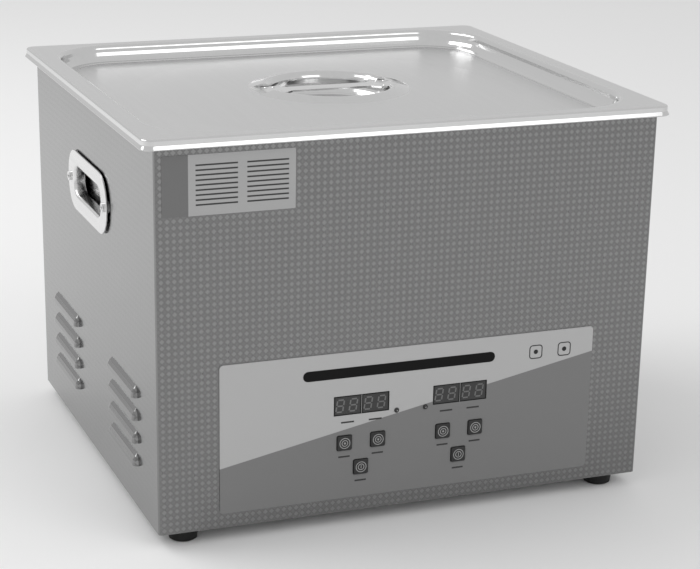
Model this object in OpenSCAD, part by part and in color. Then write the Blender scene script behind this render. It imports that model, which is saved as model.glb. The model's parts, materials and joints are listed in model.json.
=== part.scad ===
// Bench-top ultrasonic cleaner: a sheet-steel housing with a deep-drawn tank, a drop-on lid,
// six bonded transducers, a generator, a control panel and a drain valve at the back.
// The origin is on the bench, under the middle of the housing; the front faces -Y.

/* [Housing] */
// Width of the housing across the front
body_w = 343; // [341:0.5:346]
// Depth of the housing from front to back
body_d = 317; // [315:0.5:320]
// Height of the housing sheet above its bottom edge
body_h = 256; // [250:1:270]
// Thickness of the housing sheet
sheet_t = 1; // [0.8:0.1:1.2]
// Outside radius of the upright bends
bend_r = 2.5; // [1.5:0.5:4]
// Thickness of the bottom plate
base_t = 1.2; // [1:0.1:1.5]

/* [Feet] */
// Height of a rubber foot
foot_h = 8.8; // [8:0.2:12]
// Largest radius of a foot
foot_r = 10; // [8:0.5:11]
// Distance of a foot's middle from the side of the housing
foot_in_x = 20.5; // [16:0.5:26]
// Distance of a foot's middle from the front or back of the housing
foot_in_y = 16; // [14:0.5:26]

/* [Tank] */
// Inside width of the tank at the top
tank_w = 330; // [328:0.5:331]
// Inside depth of the tank, front to back, at the top
tank_d = 302; // [300:0.5:303]
// Height of the tank from its floor to its flange
tank_h = 150; // [145:1:155]
// Thickness of the tank sheet
tank_t = 1; // [0.8:0.1:1.2]
// Radius of the tank's upright corners
tank_r = 45; // [40:1:48]
// Lean of the tank walls, in degrees
draft = 2.86; // [2:0.1:3.2]
// Radius between the walls and the floor
tank_floor_r = 18; // [12:1:20]

/* [Lid] */
// Width of the lid over its hem
lid_w = 360; // [358:0.5:364]
// Depth of the lid over its hem, front to back
lid_d = 327; // [325:0.5:330]
// Thickness of the lid sheet
lid_t = 0.8; // [0.6:0.1:0.9]
// Height of the lid's turned-down edge
skirt_h = 6.6; // [5:0.1:7]
// How far the hem stands out from the turned-down edge
hem_out = 1.25; // [1:0.05:2]
// Depth of the sunken pan
pan_depth = 12.2; // [11:0.2:14]
// Width of the sunken pan
pan_w = 332.4; // [330:0.2:333]
// Depth of the sunken pan, front to back
pan_d = 304.6; // [302:0.2:305]
// Rise of the pan's floor towards the middle
crown_h = 4.2; // [2:0.2:5]
// Radius of the raised ring round the finger dish
ring_r = 46; // [42:0.5:48]
// Depth of the finger dish below the lid's top
dish_depth = 23; // [20:1:28]
// Length of the strap handle
strap_l = 96; // [92:1:98]
// Width of the strap handle between its ends
strap_w = 12.5; // [10:0.5:16]
// Width of the strap handle's ends
strap_end_w = 22; // [18:1:26]

/* [Side handles] */
// Width and height of the handle plate
handle_size = [104, 42]; // [40:1:120]
// Width and height of the hand hole
hole_size = [73, 20.5]; // [20:0.5:80]
// Height of the handle's middle above the housing's bottom edge
handle_up = 187.5; // [176:0.5:190]
// Distance of the handle's middle behind the middle of the side
handle_back = 3.7; // [0:0.1:5]
// Distance between the two handle screws
handle_screw_pitch = 92; // [88:1:96]

/* [Louvres] */
// Length of a louvre
louvre_l = 67; // [50:1:75]
// Height of a louvre
louvre_h = 8; // [7:0.5:9]
// How far a louvre stands out
louvre_out = 3.5; // [2.5:0.5:4]
// Distance from one louvre to the next
louvre_pitch = 15.8; // [13:0.2:18]
// Height of the lowest louvre above the housing's bottom edge
louvre_up = 30; // [26:1:34]
// Distance of a column of louvres from the middle of the side
louvre_col = 78; // [60:1:90]

/* [Control panel] */
// Width and height of the panel foil
panel_size = [263, 101]; // [90:1:270]
// Height of the foil's lower edge above the housing's bottom edge
panel_up = 9.8; // [8:0.2:14]
// Sideways offset of the whole panel
panel_shift = 0.6; // [-1:0.1:1]
// Distance of a group of keys from the panel's middle
group_x = 34.9; // [30:0.1:40]
// Size of a key
key_w = 10.2; // [9:0.1:11]
// Travel of a key
key_travel = 0.4; // [0.2:0.1:0.5]

/* [Drain] */
// Place of the drain in the tank's floor
drain_at = [110, 92]; // [80:1:110]
// Height of the drain outlet's middle above the bench
drain_z = 62; // [55:1:65]

/* [Hidden] */
$fn = 48;

half_w = body_w / 2;
half_d = body_d / 2;
z_body = foot_h + base_t;
z_top = z_body + body_h;
seal_t = 0.5;
z_flange = z_top + seal_t + tank_t;
lid_gap = 0.3;
handle_corner = 19;
hole_corner = 9.5;
z_lid = z_flange + lid_gap + lid_t;
panel_t = 1;
rear_y = half_d - panel_t;
z_floor = z_flange - tank_h;
z_under = z_floor - tank_t;

fold_w = 30;
rear_flange_w = 13;
mouth_r = 3;
fit = 0.05;
floor_in = tank_floor_r * cos(draft)
    + (tank_h - mouth_r - tank_floor_r * (1 - sin(draft))) * tan(draft);

key_row = [48.7, 30.8];
key_side = 11.7;
display_up = 74.5;
display_size = [38.8, 13.5];
lamp_x = 10.2;
lamp_up = 67.2;
foil_t = 0.8;
board_y = -half_d + 11.5;
board_t = 1.6;

label_size = [86, 38.2];
label_at = [-123.9, 228.3];

transducer_x = [-95, 0, 95];
transducer_y = [-55, 55];
horn_h = 25;
piezo_h = 10;
mass_h = 18;
stack_r = 19;

generator_z = z_body + 10;
generator_at = [5, -40];
generator_size = [150, 110];
board_top = generator_z + board_t;

fan_at = [-20, 62];
fan_size = 80;
fan_depth = 25;
fan_hole_pitch = 71.5;
inlet_at = [-125, 50];
switch_at = [-125, 92];
fuse_at = [-92, 50];
rocker_tilt = 8;

pipe_r = 8.5;
bore_r = 7;
elbow_r = 18;
valve_y = half_d + 22.5;
ball_r = 10;

/* Outlines */

// Points on a circle from one angle to another
function arc(c, r, a0, a1, n) =
    [for (i = [0:n]) c + r * [cos(a0 + (a1 - a0) * i / n), sin(a0 + (a1 - a0) * i / n)]];

// A rectangle with rounded corners, anticlockwise
function round_rect(w, d, r, n = 6) =
    [for (q = [0:3])
        let(sx = (q == 0 || q == 3) ? 1 : -1, sy = q < 2 ? 1 : -1)
        each arc([sx * (w / 2 - r), sy * (d / 2 - r)], r, 90 * q, 90 * q + 90, n)];

// The direction in which a path leaves point i
function heading(path, i) =
    let(j = max(0, min(len(path) - 2, i)), step = path[j + 1] - path[j]) step / norm(step);

// Point i of a path, moved by t to the left of the path
function shifted(path, i, t) =
    let(a = heading(path, i - 1), b = heading(path, i), m = [-a[1] - b[1], a[0] + b[0]])
    path[i] + m * 2 * t / (m * m);

// The closed outline of sheet metal that lies on the left of a path, or on the right for t < 0
function sheet(path, t) =
    concat(path, [for (i = [len(path) - 1:-1:0]) shifted(path, i, t)]);

/* Shared solids */

module plate(w, d, r, t) {
    linear_extrude(t) polygon(round_rect(w, d, r));
}

// A profile carried round a rectangle with rounded corners; its x is 0 on the rectangle's edge
// and grows outwards
module around(w, d, r, profile) {
    for (i = [0:3]) {
        across = i % 2 == 0 ? w : d;
        along = i % 2 == 0 ? d : w;
        rotate([0, 0, 90 * i]) {
            translate([across / 2, 0, 0])
                rotate([90, 0, 0])
                    linear_extrude(along - 2 * r, center = true)
                        polygon(profile);
            translate([across / 2 - r, along / 2 - r, 0])
                rotate_extrude(angle = 90)
                    translate([r, 0])
                        polygon(profile);
        }
    }
}

module ring(r_out, r_in, h) {
    difference() {
        cylinder(h = h, r = r_out);
        translate([0, 0, -1]) cylinder(h = h + 2, r = r_in);
    }
}

module hex_nut(across, h, hole_r) {
    difference() {
        cylinder(h = h, r = across / sqrt(3), $fn = 6);
        translate([0, 0, -1]) cylinder(h = h + 2, r = hole_r);
    }
}

module rod(a, b, r) {
    v = b - a;
    translate(a)
        rotate([0, acos(v[2] / norm(v)), atan2(v[1], v[0])])
            cylinder(h = norm(v), r = r, $fn = 24);
}

module wire(points, r) {
    for (i = [0:len(points) - 2]) rod(points[i], points[i + 1], r);
    if (len(points) > 2)
        for (i = [1:len(points) - 2]) translate(points[i]) sphere(r, $fn = 24);
}

// Local x runs right, y up and z out of the face
module on_front() {
    translate([0, -half_d, 0]) rotate([90, 0, 0]) children();
}

// As on_front, seen from the front: x stays the object's own x, z points out of the back
module on_back() {
    translate([0, half_d, 0]) rotate([90, 0, 0]) mirror([0, 0, 1]) children();
}

module on_side(side) {
    translate([side * half_w, 0, 0])
        rotate([90, 0, 90])
            mirror([0, 0, side < 0 ? 1 : 0])
                children();
}

module each_foot() {
    for (sx = [-1, 1], sy = [-1, 1])
        translate([sx * (half_w - foot_in_x), sy * (half_d - foot_in_y), 0])
            children();
}

module each_key() {
    for (side = [-1, 1], k = [-1, 0, 1])
        translate([key_x(side, k), z_body + key_y(k), 0])
            children();
}

function key_x(side, k) = panel_shift + side * group_x + k * key_side;
function key_y(k) = key_row[k == 0 ? 1 : 0];

module each_display() {
    for (side = [-1, 1])
        translate([panel_shift + side * group_x, z_body + display_up, 0])
            children();
}

module each_lamp() {
    for (side = [-1, 1])
        translate([panel_shift + side * lamp_x, z_body + lamp_up, 0])
            children();
}

module each_transducer() {
    for (x = transducer_x, y = transducer_y) translate([x, y, 0]) children();
}

base_screw_spots = [for (sx = [-1, 1], sy = [-1, 0, 1]) [sx * (half_w - 15), sy * 95]];
rear_screw_spots = [for (sx = [-1, 1], z = [30, 100, 170, 240]) [sx * (half_w - 7.5), z]];
fan_screw_spots =
    [for (sx = [-1, 1], sy = [-1, 1]) fan_at + [sx, sy] * fan_hole_pitch / 2];

/* Housing */

module louvre_profile(reach, up, inner) {
    big_r = (reach * reach + pow(up - 1, 2)) / (2 * reach);
    top_a = acos((big_r - reach) / big_r);
    polygon(concat(
        inner ? [[0, -1]] : [[0, 0]],
        inner ? [[reach, -1]] : [[reach, 0]],
        arc([reach - big_r, 1], big_r, 0, top_a, 3)
    ));
}

module housing_shell() {
    color("#8f9092") difference() {
        union() {
            wrap();
            side_louvres(false);
        }
        side_louvres(true);
        for (side = [-1, 1])
            on_side(side)
                translate([handle_back, z_body + handle_up, -2])
                    plate(hole_size[0] + 3, hole_size[1] + 3, hole_corner + 1.5, 4);
        on_front() {
            each_display()
                translate([0, 0, -2]) plate(display_size[0] - 3, display_size[1] - 2.5, 0.5, 4);
            each_key() translate([0, 0, -2]) plate(key_w + 0.8, key_w + 0.8, 1.4, 4);
            each_lamp() translate([0, 0, -2]) cylinder(h = 4, r = 1.8);
        }
        for (p = rear_screw_spots)
            translate([p[0], half_d - 3, p[1]]) rotate([-90, 0, 0]) cylinder(h = 6, r = 1.6);
        for (p = base_screw_spots)
            translate([p[0], p[1], z_body - 2]) cylinder(h = 5, r = 1.6);
        each_foot() translate([0, 0, z_body - 2]) cylinder(h = 5, r = 2.2);
    }
}

// Front and sides in one bent sheet, with the folds that carry the tank and the bottom plate
module wrap() {
    path = concat(
        [[-half_w + rear_flange_w, rear_y]],
        arc([-half_w + bend_r, rear_y - bend_r], bend_r, 90, 180, 4),
        arc([-half_w + bend_r, -half_d + bend_r], bend_r, 180, 270, 4),
        arc([half_w - bend_r, -half_d + bend_r], bend_r, 270, 360, 4),
        arc([half_w - bend_r, rear_y - bend_r], bend_r, 0, 90, 4),
        [[half_w - rear_flange_w, rear_y]]
    );
    translate([0, 0, z_body]) linear_extrude(body_h) polygon(sheet(path, sheet_t));
    translate([0, 0, z_body])
        fold_ring(body_w - 2 * fold_w, body_d - 2 * fold_w, 1);
    translate([0, 0, z_top - sheet_t])
        fold_ring(tank_w + 2 * mouth_r - 1, tank_d + 2 * mouth_r - 1, tank_r + mouth_r - 0.5);
}

module fold_ring(hole_w, hole_d, hole_r) {
    difference() {
        translate([0, -panel_t / 2, 0])
            plate(body_w - sheet_t, body_d - sheet_t - panel_t, bend_r - sheet_t / 2, sheet_t);
        translate([0, 0, -1]) plate(hole_w, hole_d, hole_r, sheet_t + 2);
    }
}

module side_louvres(inner) {
    for (side = [-1, 1], col = [-1, 1], i = [0:3])
        on_side(side)
            translate([col * louvre_col, z_body + louvre_up + i * louvre_pitch, 0])
                louvre(inner);
}

// A pressed hood with round ends, open at its lower edge: x runs along it, y up, z out of the
// side. The inner body is what is cut away
module louvre(inner) {
    reach = inner ? louvre_out - sheet_t * 0.9 : louvre_out;
    up = inner ? louvre_h - sheet_t * 1.2 : louvre_h;
    straight = louvre_l - 2 * louvre_out;
    rotate([0, -90, 0])
        linear_extrude(straight, center = true)
            louvre_profile(reach, up, inner);
    for (end = [-1, 1])
        translate([end * straight / 2, 0, 0])
            rotate([-90, 0, 0])
                rotate([0, 0, end > 0 ? 270 : 180])
                    rotate_extrude(angle = 90)
                        louvre_profile(reach, up, inner);
    if (inner)
        translate([-straight / 2, 0, -2])
            cube([straight, up * 0.75, 3]);
}

module rear_panel() {
    color("#b4b5b7") on_back() difference() {
        translate([0, z_body + body_h / 2, -panel_t])
            plate(body_w - 2, body_h - 1, 1.5, panel_t);
        translate([fan_at[0], fan_at[1], -3]) cylinder(h = 6, r = 37);
        translate([inlet_at[0], inlet_at[1], -3]) plate(28, 20.6, 1, 6);
        translate([switch_at[0], switch_at[1], -3]) plate(13.6, 27.6, 0.5, 6);
        translate([fuse_at[0], fuse_at[1], -3]) cylinder(h = 6, r = 6.2);
        translate([drain_at[0], drain_z, -3]) cylinder(h = 6, r = pipe_r + 0.5);
        for (p = rear_screw_spots) translate([p[0], p[1], -3]) cylinder(h = 6, r = 1.6);
        for (p = fan_screw_spots) translate([p[0], p[1], -3]) cylinder(h = 6, r = 2.1);
        for (i = [0:5], sx = [-1, 1])
            translate([sx * 90, 150 + i * 12, -3]) plate(80, 4, 1.9, 6);
    }
}

module base_plate() {
    color("#a9aaac") difference() {
        translate([0, 0, foot_h]) plate(body_w - 5, body_d - 5, 2, base_t);
        each_foot() translate([0, 0, foot_h - 1]) cylinder(h = 4, r = 2.2);
        for (p = base_screw_spots) translate([p[0], p[1], foot_h - 1]) cylinder(h = 4, r = 1.6);
        for (i = [-4:4], sx = [-1, 1])
            translate([sx * 100, i * 10 + 40, foot_h - 1]) plate(60, 4, 1.9, 4);
    }
}

module rubber_feet() {
    color("#151515") each_foot() rotate_extrude() polygon([
        [4.4, 0], [foot_r - 2, 0], [foot_r - 0.8, 0.7], [foot_r, foot_h - 0.4],
        [foot_r - 0.4, foot_h], [2.2, foot_h], [2.2, 4.5], [4.4, 4.5]
    ]);
}

module foot_screws() {
    color("#c9cacb") each_foot() {
        translate([0, 0, 2]) cylinder(h = 2.5, r = 4);
        translate([0, 0, 4]) cylinder(h = 11, r = 2);
        translate([0, 0, z_body + sheet_t]) cylinder(h = 3.2, r = 4, $fn = 6);
    }
}

module panel_screws() {
    color("#d0d1d2") {
        for (p = rear_screw_spots)
            translate([p[0], half_d, p[1]]) rotate([-90, 0, 0]) screw(3, 1.8, 1.5, 6);
        for (p = base_screw_spots)
            translate([p[0], p[1], foot_h]) mirror([0, 0, 1]) screw(3, 1.8, 1.5, 6);
        for (p = fan_screw_spots)
            translate([p[0], half_d + 1.6, p[1]]) rotate([-90, 0, 0]) screw(3.6, 1.8, 1.9, 20);
    }
}

// A screw that stands on z = 0 with its shank below it and a cross recess in its head
module screw(head_r, head_h, shank_r, shank_l) {
    difference() {
        union() {
            cylinder(h = head_h, r = head_r);
            translate([0, 0, -shank_l]) cylinder(h = shank_l + 0.5, r = shank_r);
        }
        for (a = [0, 90])
            rotate([0, 0, a]) translate([0, 0, head_h]) cube([head_r * 1.2, 0.8, 1.6], center = true);
    }
}

/* Tank and what is bonded to it */

module tank() {
    wall_dir = [-sin(draft), -cos(draft)];
    floor_c = [-floor_in, -tank_h + tank_floor_r];
    path = concat(
        [[mouth_r + 2, 0]],
        arc([mouth_r, -mouth_r], mouth_r, 90, 180, 4),
        arc(floor_c, tank_floor_r, -draft, -90, 7),
        [[-floor_in - 2, -tank_h]]
    );
    color("#c3c5c8") translate([0, 0, z_flange]) difference() {
        union() {
            around(tank_w, tank_d, tank_r, sheet(path, tank_t));
            translate([0, 0, -tank_h - tank_t])
                plate(tank_w - 2 * floor_in - 2, tank_d - 2 * floor_in - 2,
                    tank_r - floor_in - 1, tank_t);
            translate([0, 0, -tank_t]) difference() {
                plate(body_w - 1, body_d - 1, 3, tank_t);
                translate([0, 0, -1])
                    plate(tank_w + 2 * mouth_r + 2, tank_d + 2 * mouth_r + 2,
                        tank_r + mouth_r + 1, tank_t + 2);
            }
        }
        translate([drain_at[0], drain_at[1], -tank_h - 5]) cylinder(h = 10, r = 10.2);
    }
}

module tank_seal() {
    reach = mouth_r + 0.6;
    color("#d8d6cf") translate([0, 0, z_top]) difference() {
        plate(tank_w + 2 * reach + 4, tank_d + 2 * reach + 4, tank_r + reach + 2, seal_t);
        translate([0, 0, -1])
            plate(tank_w + 2 * reach, tank_d + 2 * reach, tank_r + reach, seal_t + 2);
    }
}

module heater_pads() {
    down = 85;
    out = tank_d / 2 + tank_t / cos(draft) - (down - mouth_r) * tan(draft) + 0.1;
    color("#c46a3a") for (a = [0, 180])
        rotate([0, 0, a])
            translate([0, -out, z_flange - down])
                rotate([draft, 0, 0])
                    translate([-115, -2, -35])
                        cube([230, 2, 70]);
}

module temperature_sensor() {
    color("#b98a4a") translate([-47, 0, z_under]) {
        translate([-6, -6, -3]) cube([12, 12, 3]);
        translate([0, 0, -9]) cylinder(h = 7, r = 3);
    }
}

module overheat_cutout() {
    color("#303236") translate([47, 0, z_under]) {
        translate([0, 0, -7]) cylinder(h = 7, r = 8);
        for (s = [-1, 1]) translate([s * 4 - 0.4, -3, -14]) cube([0.8, 6, 8]);
    }
}

module transducer_horns() {
    color("#b9bcc0") each_transducer() translate([0, 0, z_under - horn_h]) difference() {
        cylinder(h = horn_h, r1 = stack_r, r2 = stack_r + 3.5);
        translate([0, 0, -1]) cylinder(h = 16, r = 5 + fit);
    }
}

module piezo_rings() {
    color("#d9cfae") each_transducer()
        for (i = [0, 1])
            translate([0, 0, z_under - horn_h - piezo_h + i * (piezo_h / 2 + 0.1)])
                ring(stack_r, 7.5, piezo_h / 2 - 0.1);
}

module transducer_back_masses() {
    color("#6f7276") each_transducer()
        translate([0, 0, z_under - horn_h - piezo_h - mass_h])
            ring(stack_r, 5.2, mass_h);
}

module transducer_bolts() {
    color("#3a3b3d") each_transducer()
        translate([0, 0, z_under - horn_h - piezo_h - mass_h]) {
            translate([0, 0, -7]) cylinder(h = 7, r = 8, $fn = 6);
            translate([0, 0, -1]) cylinder(h = mass_h + piezo_h + 14, r = 5);
        }
}

/* Electronics */

module generator_board() {
    color("#2f6b3c") translate([generator_at[0], generator_at[1], generator_z]) {
        translate([-generator_size[0] / 2, -generator_size[1] / 2, 0])
            cube([generator_size[0], generator_size[1], board_t]);
        for (y = [-40, 20, 34]) translate([-72, y - 5, board_t - 0.2]) cube([12, 10, 9]);
        translate([-15, -54, board_t - 0.2]) cube([26, 6, 8]);
    }
}

module board_pillars() {
    color("#c7a94e") {
        for (sx = [-1, 1], sy = [-1, 1])
            translate([generator_at[0] + sx * 70, generator_at[1] + sy * 50, z_body])
                cylinder(h = generator_z - z_body, r = 3);
        for (sx = [-1, 1], z = [34, 97])
            translate([panel_shift + sx * 57.5, -half_d + sheet_t, z])
                rotate([-90, 0, 0])
                    cylinder(h = board_y - sheet_t + half_d, r = 2.4);
    }
}

module heat_sink() {
    color("#8d9094") translate([20, -92, board_top]) {
        cube([56, 50, 4]);
        for (i = [0:8]) translate([i * 6.8, 0, 3]) cube([1.6, 50, 18]);
    }
}

module output_transformer() {
    color("#4b3a2c") translate([-36, -62, board_top]) {
        translate([-18, -14, 0]) cube([36, 28, 6]);
        translate([-18, -14, 24]) cube([36, 28, 6]);
        for (s = [-1, 1]) translate([s * 15 - 3, -14, 5]) cube([6, 28, 20]);
        translate([0, 0, 5]) cylinder(h = 20, r = 10);
    }
}

module power_capacitors() {
    color("#28303c") for (i = [0:2])
        translate([-22 + i * 22, -8, board_top]) cylinder(h = 26, r = 9);
}

module fan_frame() {
    color("#1d1e20") on_back()
        translate([fan_at[0], fan_at[1], -panel_t - fan_depth]) {
            difference() {
                translate([0, 0, 0]) plate(fan_size, fan_size, 4, fan_depth);
                translate([0, 0, -1]) cylinder(h = fan_depth + 2, r = 38.4);
                for (sx = [-1, 1], sy = [-1, 1])
                    translate([sx, sy, 0] * fan_hole_pitch / 2 - [0, 0, 1])
                        cylinder(h = fan_depth + 2, r = 2.1);
            }
            cylinder(h = 3, r = 17);
            for (a = [30:90:300])
                rotate([0, 0, a]) translate([15, -2, 0]) cube([24.5, 4, 3]);
            cylinder(h = 18, r = 1.5);
        }
}

module fan_rotor() {
    color("#2a2b2e") on_back()
        translate([fan_at[0], fan_at[1], -panel_t - fan_depth])
            difference() {
                union() {
                    translate([0, 0, 3.6]) cylinder(h = 19, r = 17);
                    for (a = [0:360 / 7:359])
                        rotate([0, 0, a])
                            translate([26, 0, 13])
                                rotate([38, 0, 0])
                                    cube([21, 20, 1.6], center = true);
                }
                translate([0, 0, 2]) cylinder(h = 17.5, r = 1.5 + fit);
            }
}

module fan_guard() {
    wire_r = 0.8;
    color("#cfd0d2") on_back() translate([fan_at[0], fan_at[1], 0]) {
        for (r = [10, 18, 26, 34])
            translate([0, 0, 1.8])
                rotate_extrude() translate([r, 0]) circle(wire_r, $fn = 24);
        for (a = [45:90:360]) rotate([0, 0, a]) {
            translate([8, 0, wire_r])
                rotate([0, 90, 0])
                    cylinder(h = fan_hole_pitch / sqrt(2) - 10.8, r = wire_r, $fn = 24);
            translate([fan_hole_pitch / sqrt(2), 0, wire_r])
                rotate_extrude() translate([3.1, 0]) circle(wire_r, $fn = 24);
        }
    }
}

module power_inlet() {
    color("#1b1c1e") on_back() translate([inlet_at[0], inlet_at[1], 0]) difference() {
        union() {
            plate(32, 25, 2, 2.4);
            translate([0, 0, -19]) plate(27.4, 20, 1, 20);
        }
        translate([0, 0, -15]) linear_extrude(20) polygon([
            [-12, -8.2], [12, -8.2], [12, 3.4], [7.6, 8.2], [-7.6, 8.2], [-12, 3.4]
        ]);
        for (x = [-7, 0, 7]) translate([x - 1.1, x == 0 ? -4.2 : -0.2, -20]) cube([2.2, 4.4, 6]);
    }
}

module inlet_pins() {
    color("#d4c48a") on_back() translate([inlet_at[0], inlet_at[1], 0])
        for (x = [-7, 0, 7])
            translate([x - 1, x == 0 ? -4 : 0, -26]) cube([2, 4, 22]);
}

module fuse_holder() {
    color("#202124") on_back() translate([fuse_at[0], fuse_at[1], 0]) {
        cylinder(h = 2, r = 8.5);
        translate([0, 0, -28]) cylinder(h = 29, r = 6);
        translate([0, 0, 1.5]) difference() {
            cylinder(h = 6, r = 6.4);
            translate([0, 0, 5.6]) cube([9, 1.4, 2.4], center = true);
        }
    }
}

module switch_frame() {
    color("#18191b") on_back() translate([switch_at[0], switch_at[1], 0]) difference() {
        union() {
            plate(15.4, 31, 1.5, 2);
            translate([0, 0, -16]) plate(13.2, 27.2, 0.5, 17);
        }
        translate([0, 0, -12]) plate(10.8, 24.4, 0.5, 20);
        translate([-7, 0, -3]) rotate([0, 90, 0]) cylinder(h = 14, r = 1.5 + fit);
    }
}

module power_rocker() {
    color("#2a2b2e") on_back()
        translate([switch_at[0], switch_at[1], -3])
            rotate([-rocker_tilt, 0, 0]) {
                rotate([90, 0, 90])
                    linear_extrude(10, center = true)
                        polygon([[-11.2, 5.4], [0, 3.8], [11.2, 5.4], [11.2, 1], [6, -4], [-6, -4],
                            [-11.2, 1]]);
                rotate([0, 90, 0]) cylinder(h = 12.6, r = 1.5, center = true);
            }
}

/* Control panel */

module control_board() {
    color("#2f6b3c") translate([panel_shift - 61, board_y, 30]) cube([122, board_t, 71]);
}

module display_modules() {
    color("#202224") on_front() each_display()
        translate([0, 0, -11.5]) plate(38, 13, 0.5, 10.3);
}

module indicator_lamps() {
    color("#2b2c2e") on_front() each_lamp() {
        translate([0, 0, -11.5]) cylinder(h = 12.3, r = 1.45);
        translate([0, 0, -11.5]) cylinder(h = 6, r = 2.4);
    }
}

module key_switches() {
    color("#3b3d40") on_front() each_key() {
        translate([-3, -3, -11.5]) cube([6, 6, 5]);
        translate([0, 0, -7]) cylinder(h = 1.5, r = 1.6);
    }
}

module control_overlay() {
    color("#9a9b9d") on_front() difference() {
        translate([panel_shift, z_body + panel_up + panel_size[1] / 2, 0])
            plate(panel_size[0], panel_size[1], 2.5, foil_t);
        each_display() translate([0, 0, -1]) plate(display_size[0], display_size[1], 0.4, 4);
        each_key() translate([0, 0, -1]) plate(key_w + 0.7, key_w + 0.7, 1.4, 4);
        each_lamp() translate([0, 0, -1]) cylinder(h = 4, r = 1.55);
    }
}

module display_windows() {
    color("#4a4a4c") on_front() each_display()
        translate([0, 0, 0.02]) plate(display_size[0] - 0.1, display_size[1] - 0.1, 0.4, 0.7);
}

module front_label() {
    color("#a8a8aa") on_front()
        translate([label_at[0], z_body + label_at[1], 0])
            plate(label_size[0], label_size[1], 0.8, 0.25);
}

// side is -1 for the heating group and 1 for the timer; k is -1, 1 or 0 for up, down and run
module key(side, k) {
    color("#4b4c4e") on_front() translate([key_x(side, k), z_body + key_y(k), 0]) {
        translate([0, 0, -2.3]) plate(key_w, key_w, 1.2, 3.9);
        translate([0, 0, -2.3]) plate(key_w + 3, key_w + 3, 2, 1);
        translate([0, 0, key_travel - 5.2]) cylinder(h = 3.5, r = 1.7);
    }
}

module key_heat_up() {
    key(-1, -1);
}

module key_heat_down() {
    key(-1, 1);
}

module key_heat_run() {
    key(-1, 0);
}

module key_time_up() {
    key(1, -1);
}

module key_time_down() {
    key(1, 1);
}

module key_time_run() {
    key(1, 0);
}

/* Side handles */

handle_off = 1;

// A stamped plate that stands off the housing, with a rim turned in through the hand hole
module handle(side) {
    face = handle_off + sheet_t;
    rim = concat([[4, face]], arc([2, face - 2], 2, 90, 180, 4), [[0, -6]]);
    color("#b9babc") on_side(side) translate([handle_back, z_body + handle_up, 0]) difference() {
        union() {
            around(hole_size[0], hole_size[1], hole_corner, sheet(rim, sheet_t));
            translate([0, 0, handle_off]) difference() {
                plate(handle_size[0], handle_size[1], handle_corner, sheet_t);
                translate([0, 0, -1])
                    plate(hole_size[0] + 6, hole_size[1] + 6, hole_corner + 3, 4);
            }
            for (s = [-1, 1])
                translate([s * handle_screw_pitch / 2, 0, 0]) cylinder(h = handle_off + 0.2, r = 4);
        }
        for (s = [-1, 1])
            translate([s * handle_screw_pitch / 2, 0, -2]) cylinder(h = 6, r = 1.6);
    }
}

module left_handle() {
    handle(-1);
}

module right_handle() {
    handle(1);
}

module handle_screws() {
    color("#dcdddf") for (side = [-1, 1], s = [-1, 1])
        on_side(side)
            translate([handle_back + s * handle_screw_pitch / 2, z_body + handle_up,
                handle_off + sheet_t])
                screw(3.2, 1.6, 1.5, 1.8);
}

/* Lid */

function crown_z(r) = -pan_depth + crown_h * (1 - pow(r / crown_r, 2));

crown_r = 136;
top_w = lid_w - 2 * hem_out;
top_d = lid_d - 2 * hem_out;
top_r = 7;
pan_r = 46;
edge_r = 1;
hem_r = 0.5;
flare_r = 0.8;
flare_a = 30;
flare_z = -3.6;
pan_top_r = 3;
pan_foot_r = 9;
wall_a = 80;
bead_r = 5;
ring_top = -6;
seat_z = -9.4;
seat_x = strap_l / 2 + 6;
seat_reach = seat_x + 6;
seat_w = strap_end_w + 2;
strap_t = 1.2;

module lid() {
    slope = (pan_depth - (pan_top_r + pan_foot_r) * (1 - cos(wall_a))) / sin(wall_a);
    inset = (pan_top_r + pan_foot_r) * sin(wall_a) + slope * cos(wall_a);
    skirt = concat(
        [[-3, 0]],
        arc([-edge_r, -edge_r], edge_r, 90, 0, 3),
        arc([flare_r, flare_z], flare_r, 180, 180 + flare_a, 2),
        arc([hem_out - hem_r, -skirt_h + hem_r], hem_r, flare_a, -90, 4),
        [[-lid_t, -skirt_h], [-lid_t, -lid_t], [-3, -lid_t]]
    );
    pan = concat(
        [[2, 0]],
        arc([0, -pan_top_r], pan_top_r, 90, 90 + wall_a, 5),
        arc([-inset, -pan_depth + pan_foot_r], pan_foot_r, wall_a - 90, -90, 5),
        [[-inset - 2, -pan_depth]]
    );
    color("#cfd0d2") translate([0, 0, z_lid]) union() {
        around(top_w, top_d, top_r, skirt);
        around(pan_w, pan_d, pan_r, sheet(pan, lid_t));
        translate([0, 0, -lid_t]) difference() {
            plate(top_w - 4, top_d - 4, top_r - 2, lid_t);
            translate([0, 0, -1]) plate(pan_w + 2, pan_d + 2, pan_r + 1, lid_t + 2);
        }
        translate([0, 0, -pan_depth - lid_t]) difference() {
            plate(pan_w - 2 * inset - 2, pan_d - 2 * inset - 2, pan_r - inset - 1, lid_t);
            translate([0, 0, -1]) cylinder(h = lid_t + 2, r = crown_r + 1);
        }
        difference() {
            rotate_extrude($fn = 96) polygon(sheet(dish, lid_t));
            translate([0, 0, seat_z]) seat_block(0, pan_depth);
        }
        difference() {
            intersection() {
                rotate_extrude($fn = 96) polygon(concat(
                    [[seat_reach, bead_c[1]], [seat_reach, crown_z(seat_reach) - lid_t / 2]],
                    [for (i = [0:len(ring_skin) - 1]) shifted(ring_skin, i, lid_t / 2)]
                ));
                translate([0, 0, seat_z - lid_t]) seat_block(lid_t, pan_depth);
            }
            translate([0, 0, seat_z]) seat_block(0, pan_depth);
        }
    }
}

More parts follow.
